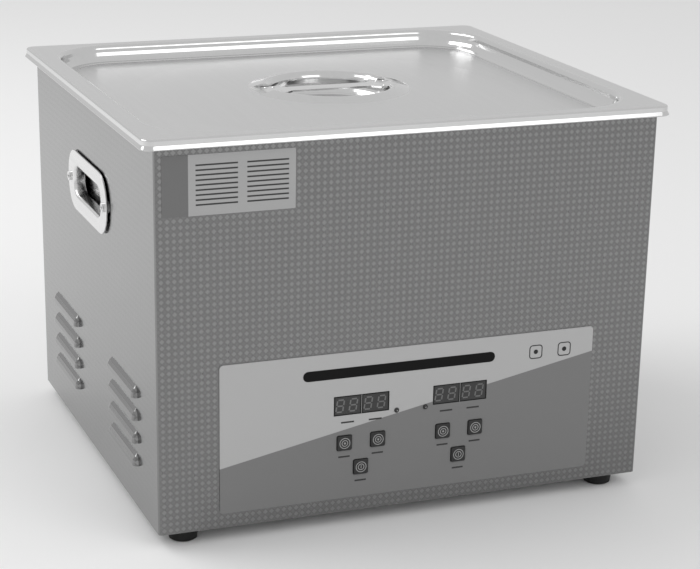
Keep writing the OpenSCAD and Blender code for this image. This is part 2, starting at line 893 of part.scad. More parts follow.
// The lid's upper face round the finger dish, from the outside inwards: a fillet, the raised
// ring, and the top of the dish wall
bead_c = [ring_r, ring_top - bead_r];
flank_a = 74;
ring_skirt = 12;
fillet_r = 6;
fillet_c = bead_c + (bead_r + fillet_r) * [cos(flank_a), sin(flank_a)]
    + (crown_z(ring_r + ring_skirt) + fillet_r - bead_c[1] - (bead_r + fillet_r) * sin(flank_a))
    * [-tan(flank_a), 1];
dish_r = ring_r - bead_r;
ring_skin = concat(
    arc(fillet_c, fillet_r, 270, 180 + flank_a, 3),
    arc(bead_c, bead_r, flank_a, 180, 7)
);
dish = concat(
    [[crown_r + 2, -pan_depth]],
    [for (i = [0:5]) let(r = crown_r + (ring_skin[0][0] + 1 - crown_r) * i / 5) [r, crown_z(r)]],
    ring_skin,
    arc([dish_r - 8, -dish_depth + 9.3], 8, 0, -80, 6),
    [[6, -dish_depth], [0, -dish_depth]]
);

// The room of the two seats that the strap's ends lie in, made larger all round by t
module seat_block(t, h) {
    for (end = [-1, 1])
        translate([end * (seat_x + dish_r - 2) / 2, 0, 0])
            linear_extrude(h)
                square([seat_x - dish_r + 2 + 2 * t, seat_w + 2 * t], center = true);
}

module lid_strap() {
    flare_from = 29;
    flare_to = 35;
    corner = 4;
    half = [
        [0, strap_w / 2], [flare_from, strap_w / 2], [flare_to, strap_end_w / 2],
        each arc([strap_l / 2 - corner, strap_end_w / 2 - corner], corner, 90, 0, 5)
    ];
    n = len(half);
    color("#e2e3e4") translate([0, 0, z_lid + seat_z]) {
        linear_extrude(strap_t) polygon(concat(
            half,
            [for (i = [n - 1:-1:1]) [half[i][0], -half[i][1]]],
            [for (i = [0:n - 1]) [-half[i][0], -half[i][1]]],
            [for (i = [n - 1:-1:1]) [-half[i][0], half[i][1]]]
        ));
        for (end = [-1, 1], row = [-1, 1], x = [38.5, 44])
            translate([end * x, row * 7.5, strap_t - 0.2]) cylinder(h = 0.7, r1 = 1.7, r2 = 1);
    }
}

/* Drain */

module drain_fitting() {
    color("#c9cbcd") translate([drain_at[0], drain_at[1], z_floor]) difference() {
        union() {
            translate([0, 0, 0.5]) cylinder(h = 2, r = 14);
            translate([0, 0, -22]) cylinder(h = 23, r = 9.8);
        }
        translate([0, 0, -23]) cylinder(h = 30, r = bore_r);
    }
}

module drain_seal() {
    color("#3a3b3c") translate([drain_at[0], drain_at[1], z_floor]) ring(14, 9.9, 0.5);
}

module drain_nut() {
    color("#b7a067") translate([drain_at[0], drain_at[1], z_under - 7]) hex_nut(30, 7, 9.8 + fit);
}

module drain_pipe() {
    top = z_floor - 22;
    color("#b9bbbd") translate([drain_at[0], drain_at[1], 0]) {
        translate([0, 0, drain_z + elbow_r]) ring(pipe_r, bore_r, top - drain_z - elbow_r);
        translate([0, elbow_r, drain_z + elbow_r])
            rotate([0, 90, 0]) rotate([0, 0, -90]) rotate_extrude(angle = 90, start = 0)
                translate([elbow_r, 0]) difference() {
                    circle(pipe_r);
                    circle(bore_r);
                }
        translate([0, elbow_r, drain_z])
            rotate([-90, 0, 0])
                ring(pipe_r, bore_r, half_d + 12 - drain_at[1] - elbow_r);
    }
}

module valve_locknuts() {
    color("#b7a067") for (y = [rear_y - 6, half_d])
        translate([drain_at[0], y, drain_z]) rotate([-90, 0, 0]) hex_nut(24, y > rear_y ? 4 : 6,
            pipe_r + fit);
}

module valve_body() {
    color("#c8b173") translate([drain_at[0], valve_y, drain_z]) difference() {
        union() {
            rotate([90, 0, 0]) cylinder(h = 30, r = 13.4, center = true);
            for (y = [-18, 8])
                translate([0, y, 0]) rotate([-90, 0, 0]) cylinder(h = 10, r = 15, $fn = 6);
            translate([0, 0, 9]) cylinder(h = 11, r = 6.5);
        }
        sphere(ball_r + 0.3);
        rotate([90, 0, 0]) cylinder(h = 50, r = bore_r, center = true);
        translate([0, -20, 0]) rotate([-90, 0, 0]) cylinder(h = 9.6, r = pipe_r + fit);
        translate([0, 11, 0]) rotate([-90, 0, 0]) cylinder(h = 9, r = pipe_r + fit);
        cylinder(h = 30, r = 3 + fit);
    }
}

module valve_ball() {
    color("#dfe0e2") translate([drain_at[0], valve_y, drain_z])
        rotate([0, 90, 0])
            rotate_extrude() intersection() {
                circle(ball_r);
                translate([6.9, -ball_r]) square([ball_r, 2 * ball_r]);
            }
}

module valve_stem() {
    color("#c8b173") translate([drain_at[0], valve_y, drain_z]) difference() {
        union() {
            translate([0, 0, ball_r - 1]) cylinder(h = 19, r = 3);
            translate([0, 0, 23.4]) cylinder(h = 3.5, r = 5.5, $fn = 6);
        }
        sphere(ball_r);
    }
}

module valve_lever() {
    color("#b02a25") translate([drain_at[0], valve_y, drain_z + 21]) difference() {
        union() {
            cylinder(h = 2.4, r = 8);
            translate([0, -6, 0]) cube([46, 12, 2.4]);
            translate([46, 0, 0]) cylinder(h = 2.4, r = 6);
        }
        translate([0, 0, -1]) cylinder(h = 5, r = 3 + fit);
        translate([44, 0, -1]) cylinder(h = 5, r = 2);
    }
}

module hose_tail() {
    color("#c8b173") translate([drain_at[0], valve_y, drain_z]) rotate([-90, 0, 0]) difference() {
        union() {
            translate([0, 0, 11.5]) cylinder(h = 7, r = pipe_r);
            translate([0, 0, 18]) cylinder(h = 4, r = 13, $fn = 6);
            translate([0, 0, 21]) cylinder(h = 22, r = 6.5);
            for (z = [30, 35, 40]) translate([0, 0, z]) cylinder(h = 3, r1 = 7.5, r2 = 6.5);
        }
        translate([0, 0, 10]) cylinder(h = 40, r = 5);
    }
}

/* Wiring */

module transducer_leads() {
    wire_r = 1.1;
    level = z_under - horn_h - piezo_h / 2;
    out = stack_r + 5.5;
    left = transducer_x[0];
    low = board_top + 7;
    edge = generator_at[0] - 72;
    color("#b3342c") for (y = transducer_y) {
        side = sign(y);
        bus_y = y + side * out;
        for (x = transducer_x)
            rod([x, y + side * (stack_r + fit), level], [x, bus_y, level], wire_r);
        wire([
            [transducer_x[2], bus_y, level], [left - 10, bus_y, level], [left - 10, bus_y, low],
            [left - 10, side < 0 ? -80 : -20, low], [edge, side < 0 ? -80 : -20, low]
        ], wire_r);
    }
}

module control_ribbon() {
    back = board_y + board_t;
    front_edge = generator_at[1] - 54;
    level = board_top + 5;
    color("#8e8f94") {
        translate([-9, back, 40]) cube([20, 22, 0.9]);
        translate([-9, back + 21.1, level]) cube([20, 0.9, 40.9 - level]);
        translate([-9, back + 21.1, level]) cube([20, front_edge - back - 21.1, 0.9]);
    }
}

module mains_leads() {
    wire_r = 1.2;
    tab_y = half_d - 26;
    tab_z = inlet_at[1] + 2;
    x = inlet_at[0];
    low = board_top + 4;
    color("#5a4632") {
        wire([
            [x - 7, tab_y, tab_z], [x - 7, tab_y - 10, tab_z], [x - 7, tab_y - 10, switch_at[1] - 6],
            [x - 3, tab_y - 10, switch_at[1] - 6], [x - 3, half_d - 16, switch_at[1] - 6]
        ], wire_r);
        wire([
            [x + 7, tab_y, tab_z], [x + 7, tab_y - 16, tab_z], [x + 7, tab_y - 16, low],
            [x + 7, -6, low], [generator_at[0] - 72, -6, low]
        ], wire_r);
    }
}

housing_shell();
rear_panel();
base_plate();
rubber_feet();
foot_screws();
panel_screws();
tank();
tank_seal();
heater_pads();
temperature_sensor();
overheat_cutout();
transducer_horns();
piezo_rings();
transducer_back_masses();
transducer_bolts();
generator_board();
board_pillars();
heat_sink();
output_transformer();
power_capacitors();
fan_frame();
fan_rotor();
fan_guard();
power_inlet();
inlet_pins();
fuse_holder();
switch_frame();
power_rocker();
control_board();
display_modules();
indicator_lamps();
key_switches();
control_overlay();
display_windows();
front_label();
key_heat_up();
key_heat_down();
key_heat_run();
key_time_up();
key_time_down();
key_time_run();
left_handle();
right_handle();
handle_screws();
lid();
lid_strap();
drain_fitting();
drain_seal();
drain_nut();
drain_pipe();
valve_locknuts();
valve_body();
valve_ball();
valve_stem();
valve_lever();
hose_tail();
transducer_leads();
control_ribbon();
mains_leads();
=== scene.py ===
"""An ultrasonic cleaner's looks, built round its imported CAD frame.

Everything is in metres in the part's own frame: the origin is on the bench under the middle of
the housing, the front faces -Y and +Z is up.
"""

import json
import math

import bmesh
import bpy
from mathutils import Matrix, Vector


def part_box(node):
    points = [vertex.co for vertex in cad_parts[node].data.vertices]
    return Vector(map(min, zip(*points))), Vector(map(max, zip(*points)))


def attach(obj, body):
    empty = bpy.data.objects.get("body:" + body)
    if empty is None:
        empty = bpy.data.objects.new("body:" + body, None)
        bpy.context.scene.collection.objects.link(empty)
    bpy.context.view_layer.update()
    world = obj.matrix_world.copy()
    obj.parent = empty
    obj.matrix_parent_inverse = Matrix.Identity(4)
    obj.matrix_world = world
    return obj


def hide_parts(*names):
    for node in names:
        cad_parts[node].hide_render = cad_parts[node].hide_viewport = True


MM = 0.001
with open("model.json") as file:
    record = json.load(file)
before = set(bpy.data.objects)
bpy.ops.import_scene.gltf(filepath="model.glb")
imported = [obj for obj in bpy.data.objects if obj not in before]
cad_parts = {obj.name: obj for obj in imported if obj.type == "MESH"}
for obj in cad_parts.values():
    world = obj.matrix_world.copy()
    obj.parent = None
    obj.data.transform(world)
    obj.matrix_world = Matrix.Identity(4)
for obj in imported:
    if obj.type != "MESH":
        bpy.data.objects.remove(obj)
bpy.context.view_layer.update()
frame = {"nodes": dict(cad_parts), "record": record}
NODES = frame["nodes"]

# ---------------------------------------------------------------- places, from the frame

FOIL_LOW, FOIL_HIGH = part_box("control_overlay")
LABEL_LOW, LABEL_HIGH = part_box("front_label")
WINDOWS_LOW, WINDOWS_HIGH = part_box("display_windows")
FOIL_Y = FOIL_LOW.y


# ---------------------------------------------------------------- shader helpers


class Tree:
    """A node tree, and short ways to add nodes to it."""

    def __init__(self, owner, space):
        owner.use_nodes = True
        self.nodes = owner.node_tree.nodes
        self.links = owner.node_tree.links
        self.coordinates = self.nodes.new("ShaderNodeTexCoord").outputs[space]

    def link(self, source, target):
        self.links.new(source, target)

    def put(self, socket, value):
        """Sets a socket to a number or colour, or links it to an output."""
        if isinstance(value, bpy.types.NodeSocket):
            self.link(value, socket)
        elif isinstance(value, (tuple, list)) and len(value) == 3 and socket.type == "RGBA":
            socket.default_value = (*value, 1)
        else:
            socket.default_value = value

    def math(self, operation, a, b=0.0, c=0.0, clamp=False):
        node = self.nodes.new("ShaderNodeMath")
        node.operation = operation
        node.use_clamp = clamp
        for socket, value in zip(node.inputs, (a, b, c)):
            self.put(socket, value)
        return node.outputs[0]

    def axes(self, source=None):
        node = self.nodes.new("ShaderNodeSeparateXYZ")
        self.link(source or self.coordinates, node.inputs[0])
        return node.outputs

    def stretched(self, scale):
        node = self.nodes.new("ShaderNodeMapping")
        self.link(self.coordinates, node.inputs["Vector"])
        node.inputs["Scale"].default_value = scale
        return node.outputs[0]

    def noise(self, scale, detail=3.0, roughness=0.5, vector=None, distortion=0.0):
        node = self.nodes.new("ShaderNodeTexNoise")
        self.link(vector or self.coordinates, node.inputs["Vector"])
        node.inputs["Scale"].default_value = scale
        node.inputs["Detail"].default_value = detail
        node.inputs["Roughness"].default_value = roughness
        node.inputs["Distortion"].default_value = distortion
        return node.outputs[0]

    def spread(self, value, low, high, from_low=0.3, from_high=0.7):
        """Maps a value from one range to another, without leaving it."""
        node = self.nodes.new("ShaderNodeMapRange")
        node.clamp = True
        for name, number in (
            ("Value", value),
            ("From Min", from_low),
            ("From Max", from_high),
            ("To Min", low),
            ("To Max", high),
        ):
            self.put(node.inputs[name], number)
        return node.outputs[0]

    def mix(self, share, a, b):
        node = self.nodes.new("ShaderNodeMix")
        node.data_type = "RGBA"
        self.put(node.inputs[0], share)
        self.put(node.inputs[6], a)
        self.put(node.inputs[7], b)
        return node.outputs[2]

    def blend(self, share, a, b):
        """A number that goes from a to b as share goes from 0 to 1."""
        return self.math(
            "ADD",
            self.math("MULTIPLY", self.math("SUBTRACT", 1, share), a),
            self.math("MULTIPLY", share, b),
        )


class Shader(Tree):
    """A material with one Principled shader."""

    def __init__(self, name):
        self.material = bpy.data.materials.new(name)
        super().__init__(self.material, "Object")
        self.principled = self.nodes["Principled BSDF"]

    def set(self, **values):
        for name, value in values.items():
            self.put(self.principled.inputs[name.replace("_", " ")], value)

    def bump(self, height, strength, distance):
        node = self.nodes.new("ShaderNodeBump")
        node.inputs["Strength"].default_value = strength
        node.inputs["Distance"].default_value = distance
        self.link(height, node.inputs["Height"])
        self.link(node.outputs[0], self.principled.inputs["Normal"])
        return node.outputs[0]


def grey(level, tint=(1, 1, 1)):
    return tuple(level * part for part in tint)


# ---------------------------------------------------------------- materials


def brushed_metal(name, level, tint=(1, 1, 1), rough=0.3, grain=(6, 260, 260), depth=0.02):
    """Satin metal with fine scratches along one axis, and softly uneven gloss."""
    s = Shader(name)
    scratches = s.noise(1.0, 4, 0.6, s.stretched(grain))
    clouds = s.noise(14, 3, 0.5)
    s.set(
        Metallic=1.0,
        Base_Color=s.mix(
            s.spread(scratches, 0, 1), grey(level * 0.93, tint), grey(level * 1.05, tint)
        ),
        Roughness=s.math(
            "ADD", s.spread(scratches, rough - 0.04, rough + 0.05), s.spread(clouds, -0.03, 0.03)
        ),
    )
    s.bump(scratches, 0.25, depth * MM)
    return s.material


def turned_metal(name, level, tint=(1, 1, 1), rough=0.2):
    """Machined or plated metal with a faint mottle."""
    s = Shader(name)
    mottle = s.noise(380, 2, 0.6)
    s.set(
        Metallic=1.0,
        Base_Color=s.mix(
            s.spread(mottle, 0, 1), grey(level * 0.92, tint), grey(level * 1.04, tint)
        ),
        Roughness=s.spread(mottle, rough - 0.04, rough + 0.06),
    )
    s.bump(mottle, 0.1, 0.02 * MM)
    return s.material


def moulded(name, colour, rough=0.45, grain=900, depth=0.03, sheen=1.0):
    """Moulded plastic or rubber with a fine grain."""
    s = Shader(name)
    fine = s.noise(grain, 2, 0.5)
    wear = s.noise(30, 3, 0.55)
    darker = tuple(0.88 * part for part in colour)
    s.set(
        Base_Color=s.mix(s.spread(wear, 0, 1), darker, colour),
        Roughness=s.math(
            "ADD", s.spread(fine, rough - 0.05, rough + 0.06), s.spread(wear, -0.03, 0.04)
        ),
        Specular_IOR_Level=0.5 * sheen,
    )
    s.bump(fine, 0.2, depth * MM)
    return s.material


EMBOSS_PITCH = 4.25 * MM
# Painted shade: the sheet's colour sits well below stainless steel's own, standing in for the dim
# reflections on its front.
SHEET_SHADED_LEVEL = 0.27


def embossed_steel(name):
    """The housing's sheet: small diamonds, by turns bright and brush-grained, with the brush-grained
    ones and all rims coloured darker as painted shade, and softly wavy sides.
    """
    s = Shader(name)
    x, y, z = s.axes()
    normal = s.nodes.new("ShaderNodeNewGeometry").outputs["Normal"]
    side = s.math("GREATER_THAN", s.math("ABSOLUTE", s.axes(normal)[0]), 0.7)
    u = s.math("DIVIDE", s.blend(side, x, y), EMBOSS_PITCH)
    v = s.math("DIVIDE", z, EMBOSS_PITCH)
    a = s.math("ADD", u, v)
    b = s.math("SUBTRACT", u, v)
    # Every other diamond: brush-grained and rougher, and also coloured darker as painted shade.
    brushed_and_shaded = s.math("PINGPONG", s.math("ADD", s.math("FLOOR", a), s.math("FLOOR", b)), 1.0)
    rim_a = s.math("ABSOLUTE", s.math("SUBTRACT", s.math("FRACT", a), 0.5))
    rim_b = s.math("ABSOLUTE", s.math("SUBTRACT", s.math("FRACT", b), 0.5))
    # The diamonds' rims: pressed dents, and also coloured darker as painted shade in the creases.
    rim_dent_and_shade = s.spread(s.math("MAXIMUM", rim_a, rim_b), 0, 1, 0.36, 0.48)
    strength = s.blend(side, 1.0, 0.2)
    grain = s.spread(s.noise(1.0, 3, 0.6, s.stretched((900, 900, 60))), -0.008, 0.008)
    # Painted shade: brush-grained diamonds 0.05 darker and rims 0.09 darker, fully on the front and at a
    # fifth on the sides.
    level = s.math(
        "ADD", SHEET_SHADED_LEVEL,
        s.math(
            "ADD", grain,
            s.math("MULTIPLY", strength, s.blend(rim_dent_and_shade, s.math("MULTIPLY", brushed_and_shaded, -0.05), -0.09)),
        ),
    )
    tones = s.nodes.new("ShaderNodeCombineColor")
    for channel in tones.inputs:
        s.link(level, channel)
    rough = s.math(
        "ADD", s.math("MULTIPLY", s.math("MULTIPLY", brushed_and_shaded, strength), 0.2),
        s.math("ADD", grain, s.blend(side, 0.07, 0.13)),
    )
    s.set(Metallic=1.0, Base_Color=tones.outputs[0], Roughness=rough)
    rising = s.nodes.new("ShaderNodeCombineXYZ")
    s.put(rising.inputs[0], s.math("MULTIPLY", y, 6))
    s.put(rising.inputs[1], s.math("MULTIPLY", s.math("MULTIPLY_ADD", y, 0.25, z), 38))
    waves = s.math("MULTIPLY", s.noise(1.0, 1, 0.4, rising.outputs[0], 0.3), side)
    dents = s.math("MULTIPLY", s.math("MULTIPLY", rim_dent_and_shade, strength), -0.01)
    s.bump(s.math("ADD", waves, dents), 1.0, 0.35 * MM)
    return s.material


def pressed_steel(name, level):
    """The lid's sheet: satin where it lies flat, and burnished where the press bent it."""
    s = Shader(name)
    normal = s.nodes.new("ShaderNodeNewGeometry").outputs["Normal"]
    flat = s.spread(s.axes(normal)[2], 0, 1, 0.982, 0.997)
    grain = s.noise(1.0, 3, 0.6, s.stretched((260, 8, 260)))
    clouds = s.noise(7, 2, 0.5)
    s.set(
        Metallic=1.0,
        Base_Color=s.mix(s.spread(grain, 0, 1), grey(level * 0.985), grey(level * 1.01)),
        Roughness=s.math("ADD", s.blend(flat, 0.12, 0.36), s.spread(clouds, -0.015, 0.015)),
    )
    s.bump(grain, 0.1, 0.004 * MM)
    return s.material


# The boundary between the foil's light and dark greys: heights at its left and right edges
FOIL_SPLIT_LEFT = 50.9 * MM
FOIL_SPLIT_RIGHT = 103.4 * MM


def foil_print(name):
    """The panel foil: light grey above a straight slanting boundary and mid grey below it."""
    s = Shader(name)
    x, y, z = s.axes()
    slope = (FOIL_SPLIT_RIGHT - FOIL_SPLIT_LEFT) / (FOIL_HIGH.x - FOIL_LOW.x)
    line = s.math(
        "ADD", s.math("MULTIPLY", s.math("SUBTRACT", x, FOIL_LOW.x), slope), FOIL_SPLIT_LEFT
    )
    above = s.math("MULTIPLY_ADD", s.math("SUBTRACT", z, line), 6000, 0.5, clamp=True)
    fine = s.noise(1400, 2, 0.5)
    s.set(
        Base_Color=s.mix(above, grey(0.2), grey(0.47)),
        Roughness=s.spread(fine, 0.32, 0.42),
        Specular_IOR_Level=0.4,
    )
    s.bump(fine, 0.15, 0.02 * MM)
    return s.material


def label_print(name):
    """The front label's paper: a grey strip on the left and light grey beside it."""
    s = Shader(name)
    x, y, z = s.axes()
    edge = LABEL_LOW.x + 16.8 * MM
    light = s.math("MULTIPLY_ADD", s.math("SUBTRACT", x, edge), 9000, 0.5, clamp=True)
    fine = s.noise(900, 2, 0.5)
    s.set(
        Base_Color=s.mix(light, grey(0.17), grey(0.41)),
        Roughness=s.spread(fine, 0.4, 0.5),
        Specular_IOR_Level=0.35,
    )
    s.bump(fine, 0.1, 0.02 * MM)
    return s.material


MATERIALS = {
    "housing_steel": embossed_steel("housing_steel"),
    "lid_steel": pressed_steel("lid_steel", 0.7),
    "strap_steel": brushed_metal("strap_steel", 0.75, rough=0.16, grain=(8, 400, 400)),
    "tank_steel": brushed_metal("tank_steel", 0.62, rough=0.28, grain=(20, 20, 300)),
    "handle_steel": brushed_metal("handle_steel", 0.76, rough=0.22, grain=(300, 8, 300)),
    "panel_steel": brushed_metal("panel_steel", 0.58, rough=0.34, grain=(8, 300, 300)),
    "screw_steel": turned_metal("screw_steel", 0.8, rough=0.18),
    "foot_rubber": moulded("foot_rubber", grey(0.012), 0.6, 500, 0.06, 0.6),
    "seal_silicone": moulded("seal_silicone", grey(0.65), 0.5),
    "nitrile": moulded("nitrile", grey(0.03), 0.55),
    "foil_print": foil_print("foil_print"),
    "window_plastic": moulded("window_plastic", grey(0.055), 0.22, 1200, 0.005, 0.5),
    "key_plastic": moulded("key_plastic", grey(0.032), 0.4, 1500, 0.01, 0.6),
    "label_print": label_print("label_print"),
    "lamp_plastic": moulded("lamp_plastic", grey(0.02), 0.15, 400, 0.005),
    "board_green": moulded("board_green", (0.03, 0.16, 0.05), 0.35, 300, 0.01),
    "pillar_brass": turned_metal("pillar_brass", 0.8, (1.0, 0.78, 0.42), 0.25),
    "heater_silicone": moulded("heater_silicone", (0.5, 0.14, 0.05), 0.6, 250, 0.1),
    "sensor_brass": turned_metal("sensor_brass", 0.7, (1.0, 0.72, 0.4), 0.3),
    "cutout_plastic": moulded("cutout_plastic", grey(0.03), 0.4),
    "horn_aluminium": turned_metal("horn_aluminium", 0.75, rough=0.3),
    "piezo_ceramic": moulded("piezo_ceramic", (0.66, 0.6, 0.42), 0.5),
    "back_steel": turned_metal("back_steel", 0.4, rough=0.35),
    "black_steel": turned_metal("black_steel", 0.12, rough=0.35),
    "sink_aluminium": brushed_metal("sink_aluminium", 0.5, rough=0.4, grain=(300, 8, 300)),
    "transformer_core": moulded("transformer_core", (0.1, 0.06, 0.03), 0.4, 400, 0.1),
    "capacitor_sleeve": moulded("capacitor_sleeve", (0.02, 0.03, 0.05), 0.25, 200, 0.005),
    "black_plastic": moulded("black_plastic", grey(0.016), 0.42, 1100, 0.05),
    "rotor_plastic": moulded("rotor_plastic", grey(0.03), 0.38, 900, 0.03),
    "rocker_plastic": moulded("rocker_plastic", grey(0.022), 0.2, 600, 0.005),
    "guard_chrome": turned_metal("guard_chrome", 0.8, rough=0.12),
    "pin_brass": turned_metal("pin_brass", 0.8, (1.0, 0.86, 0.55), 0.2),
    "module_plastic": moulded("module_plastic", grey(0.015), 0.5),
    "tact_plastic": moulded("tact_plastic", grey(0.04), 0.5),
    "drain_steel": turned_metal("drain_steel", 0.7, rough=0.22),
    "valve_brass": turned_metal("valve_brass", 0.78, (1.0, 0.8, 0.46), 0.26),
    "ball_chrome": turned_metal("ball_chrome", 0.85, rough=0.06),
    "lever_red": moulded("lever_red", (0.5, 0.03, 0.02), 0.35, 300, 0.03),
    "lead_red": moulded("lead_red", (0.5, 0.03, 0.02), 0.4, 300, 0.01),
    "ribbon_grey": moulded("ribbon_grey", grey(0.3), 0.5, 300, 0.01),
    "lead_brown": moulded("lead_brown", (0.13, 0.07, 0.03), 0.4, 300, 0.01),
    "ink_black": moulded("ink_black", grey(0.004), 0.4, 1200, 0.005, 0.3),
    "ink_grey": moulded("ink_grey", grey(0.035), 0.45, 1200, 0.005, 0.3),
    "ink_soft": moulded("ink_soft", grey(0.05), 0.45, 1200, 0.005, 0.3),
    "ink_label": moulded("ink_label", grey(0.06), 0.45, 1200, 0.005, 0.3),
    "ink_light": moulded("ink_light", grey(0.36), 0.4, 1200, 0.005, 0.3),
    "segment_grey": moulded("segment_grey", grey(0.16), 0.3, 1200, 0.005),
}


def paint_cad_nodes():
    for part in frame["record"]["subparts"]:
        data = NODES[part["node"]].data
        data.materials.clear()
        data.materials.append(MATERIALS[part["material_slot"]])


# ---------------------------------------------------------------- mesh helpers


class Shape:
    """Collects closed prisms. A placer turns a plan point (u, v) and a height w into x, y, z."""

    def __init__(self, place):
        self.place = place
        self.mesh = bmesh.new()

    def prism(self, outline, low, high):
        if area(outline) < 0:
            outline = outline[::-1]
        bottom = [self.mesh.verts.new(self.place(u, v, low)) for u, v in outline]
        top = [self.mesh.verts.new(self.place(u, v, high)) for u, v in outline]
        self.mesh.faces.new(top)
        self.mesh.faces.new(bottom[::-1])
        for i in range(len(outline)):
            j = (i + 1) % len(outline)
            self.mesh.faces.new((bottom[i], bottom[j], top[j], top[i]))

    def stroke(self, points, width, low, high, closed=False):
        """A line of even width along points, as one solid."""
        left, right = [], []
        count = len(points)
        for i, point in enumerate(points):
            before = points[i - 1] if closed or i else None
            after = points[(i + 1) % count] if closed or i < count - 1 else None
            a = direction(before, point) if before else direction(point, after)
            b = direction(point, after) if after else a
            across = Vector((-a.y - b.y, a.x + b.x))
            across *= width / max(across.length_squared, 0.5)
            left.append((point[0] + across.x, point[1] + across.y))
            right.append((point[0] - across.x, point[1] - across.y))
        if not closed:
            self.prism(left + right[::-1], low, high)
            return
        rows = [
            [self.mesh.verts.new(self.place(u, v, w)) for u, v in loop]
            for loop, w in ((left, high), (right, high), (right, low), (left, low))
        ]
        for i in range(count):
            j = (i + 1) % count
            for k in range(4):
                n = (k + 1) % 4
                self.mesh.faces.new((rows[k][i], rows[n][i], rows[n][j], rows[k][j]))

    def loft(self, levels):
        """A closed solid through outlines of one size, each at its own height."""
        rows = [[self.mesh.verts.new(self.place(u, v, w)) for u, v in o] for o, w in levels]
        self.mesh.faces.new(rows[0][::-1])
        self.mesh.faces.new(rows[-1])
        count = len(rows[0])
        for low, high in zip(rows, rows[1:]):
            for i in range(count):
                j = (i + 1) % count
                self.mesh.faces.new((low[i], low[j], high[j], high[i]))

    def piece(self, name, material, body, smooth=None):
        bmesh.ops.recalc_face_normals(self.mesh, faces=self.mesh.faces)
        data = bpy.data.meshes.new(name)
        self.mesh.to_mesh(data)
        self.mesh.free()
        return finished(name, data, material, body, smooth)


def finished(name, data, material, body, smooth=None):
    data.materials.append(MATERIALS[material])
    if smooth is not None:
        data.shade_smooth()
        data.set_sharp_from_angle(angle=math.radians(smooth))
    thing = bpy.data.objects.new(name, data)
    bpy.context.scene.collection.objects.link(thing)
    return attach(thing, body)


def direction(a, b):
    return (Vector(b) - Vector(a)).normalized()


def area(outline):
    total = 0
    for (x0, y0), (x1, y1) in zip(outline, outline[1:] + outline[:1]):
        total += x0 * y1 - x1 * y0
    return total / 2


def arc(centre, radius, start, end, count):
    return [
        (
            centre[0] + radius * math.cos(math.radians(start + (end - start) * i / count)),
            centre[1] + radius * math.sin(math.radians(start + (end - start) * i / count)),
        )
        for i in range(count + 1)
    ]


def circle(centre, radius, count=24):
    return arc(centre, radius, 0, 360, count)[:-1]


def round_rect(centre, width, height, radius, count=4):
    points = []
    for quarter in range(4):
        sx = 1 if quarter in (0, 3) else -1
        sy = 1 if quarter < 2 else -1
        middle = (
            centre[0] + sx * (width / 2 - radius),
            centre[1] + sy * (height / 2 - radius),
        )
        points += arc(middle, radius, 90 * quarter, 90 * quarter + 90, count)
    return points


def bar(centre, width, height):
    x, y = centre
    return [
        (x - width / 2, y - height / 2),
        (x + width / 2, y - height / 2),
        (x + width / 2, y + height / 2),
        (x - width / 2, y + height / 2),
    ]


def front_placer(face_y):
    """u is X, v is Z, and w stands out of the front, all in millimetres."""
    return lambda u, v, w: (u * MM, face_y - w * MM, v * MM)


INK = 0.05


# ---------------------------------------------------------------- panel graphics

foil = front_placer(FOIL_Y)
glass = front_placer(WINDOWS_LOW.y)
paper = front_placer(LABEL_LOW.y)

# The seven strokes of a digit, in half widths and half heights from its middle
STROKES = {
    "a": ((-1, 1), (1, 1)), "b": ((1, 1), (1, 0)), "c": ((1, 0), (1, -1)),
    "d": ((-1, -1), (1, -1)), "e": ((-1, 0), (-1, -1)), "f": ((-1, 1), (-1, 0)),
    "g": ((-1, 0), (1, 0)),
}
DIGIT = (2.35, 4.1)
SLANT = 0.15


def digit(s, centre, strokes):
    for key in strokes:
        ends = []
        (x0, z0), (x1, z1) = STROKES[key]
        for x, z, ex, ez in ((x0, z0, x1, z1), (x1, z1, x0, z0)):
            u = x * DIGIT[0] + (ex - x) * 0.28
            v = z * DIGIT[1] + (ez - z) * 0.55
            ends.append((centre[0] + u + v * SLANT, centre[1] + v))
        s.stroke(ends, 0.95, -0.01, INK)


WINDOW_WIDTH = 38.7


def window_lefts():
    """The left edges of the two display windows."""
    return WINDOWS_LOW.x / MM, WINDOWS_HIGH.x / MM - WINDOW_WIDTH


def displays():
    """Unlit digits behind the smoked windows, and a frame round each half of a window."""
    digits = Shape(glass)
    gaps = Shape(glass)
    frames = Shape(glass)
    low, high = WINDOWS_LOW.z / MM, WINDOWS_HIGH.z / MM
    middle = (low + high) / 2
    for left in window_lefts():
        for place in (4.4, 13.6, 24.0, 33.2):
            digit(digits, (left + place, middle), "abcdefg")
        gaps.prism(bar((left + WINDOW_WIDTH / 2, middle), 0.35, high - low - 0.3), -0.01, INK)
        for part in (0.25, 0.75):
            frames.stroke(
                bar((left + WINDOW_WIDTH * part, middle), WINDOW_WIDTH / 2 - 1.1, high - low - 0.8),
                0.6, -0.01, 0.8 * INK, closed=True,
            )
    digits.piece("display_digits", "segment_grey", "cleaner")
    frames.piece("display_frames", "ink_black", "cleaner")
    gaps.piece("display_gaps", "ink_light", "cleaner")


KEYS = ("key_heat_up", "key_heat_down", "key_heat_run", "key_time_up", "key_time_down",
        "key_time_run")


CAPTION_HEIGHT = 1.1
KEY_CAPTION = (8, 3.1)
WINDOW_CAPTION = (9, 4.9)


def captions():
    """A plain bar in the place of each caption: nothing is lettered."""
    s = Shape(foil)
    for left in window_lefts():
        for part in (0.25, 0.75):
            width, drop = WINDOW_CAPTION
            centre = (left + WINDOW_WIDTH * part, WINDOWS_LOW.z / MM - drop)
            s.prism(bar(centre, width, CAPTION_HEIGHT), -0.01, INK)
    for name in KEYS:
        key_low, key_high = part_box(name)
        u = (key_low.x + key_high.x) / 2 / MM
        width, drop = KEY_CAPTION
        s.prism(bar((u, key_low.z / MM - drop), width, CAPTION_HEIGHT), -0.01, INK)
    s.piece("panel_captions", "ink_soft", "cleaner")


